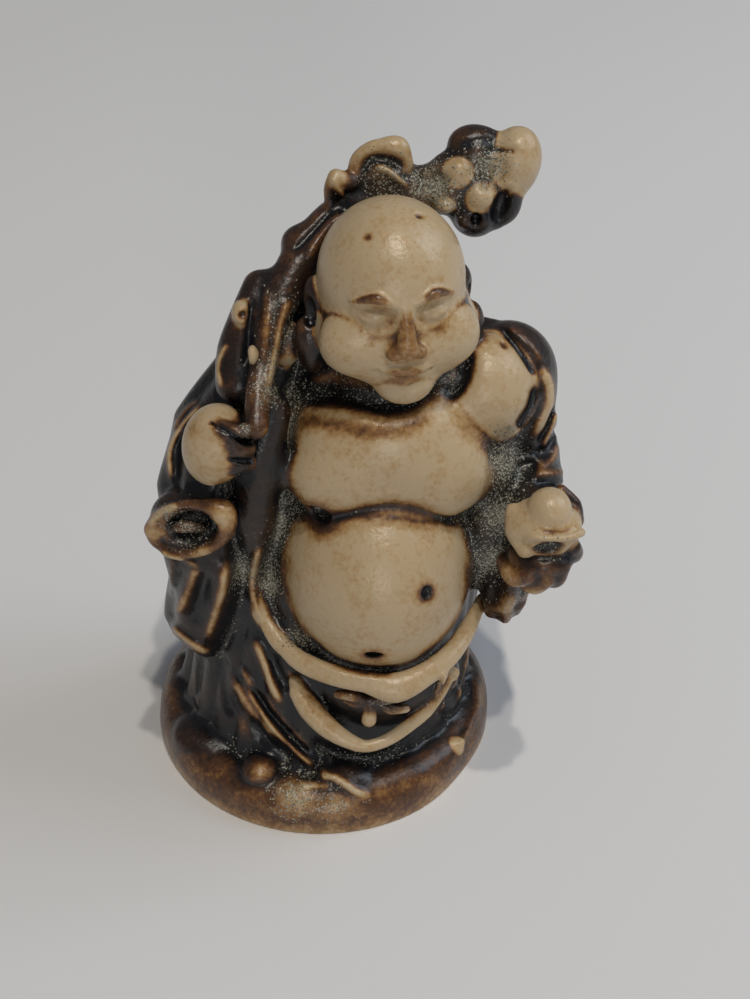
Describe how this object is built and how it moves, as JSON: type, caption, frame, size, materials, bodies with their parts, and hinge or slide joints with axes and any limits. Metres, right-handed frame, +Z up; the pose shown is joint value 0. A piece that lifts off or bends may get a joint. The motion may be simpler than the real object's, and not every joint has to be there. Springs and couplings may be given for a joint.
{
  "type": "buddha figurine",
  "caption": "Small cast-resin standing laughing buddha on a round base, with a sack on a gnarled branch over one shoulder and an ingot held in the other hand.",
  "frame": {"origin": "middle of the round base's flat underside", "axes": "+Z up, the figure looks along -Y, and its left arm with the ingot is on +X"},
  "size_m": [0.0379, 0.0319, 0.0581],
  "materials": {
    "resin": "glossy cream resin, with a dark brown patina in the recesses"
  },
  "bodies": {
    "root": {"figurine": "resin"}
  },
  "joints": []
}
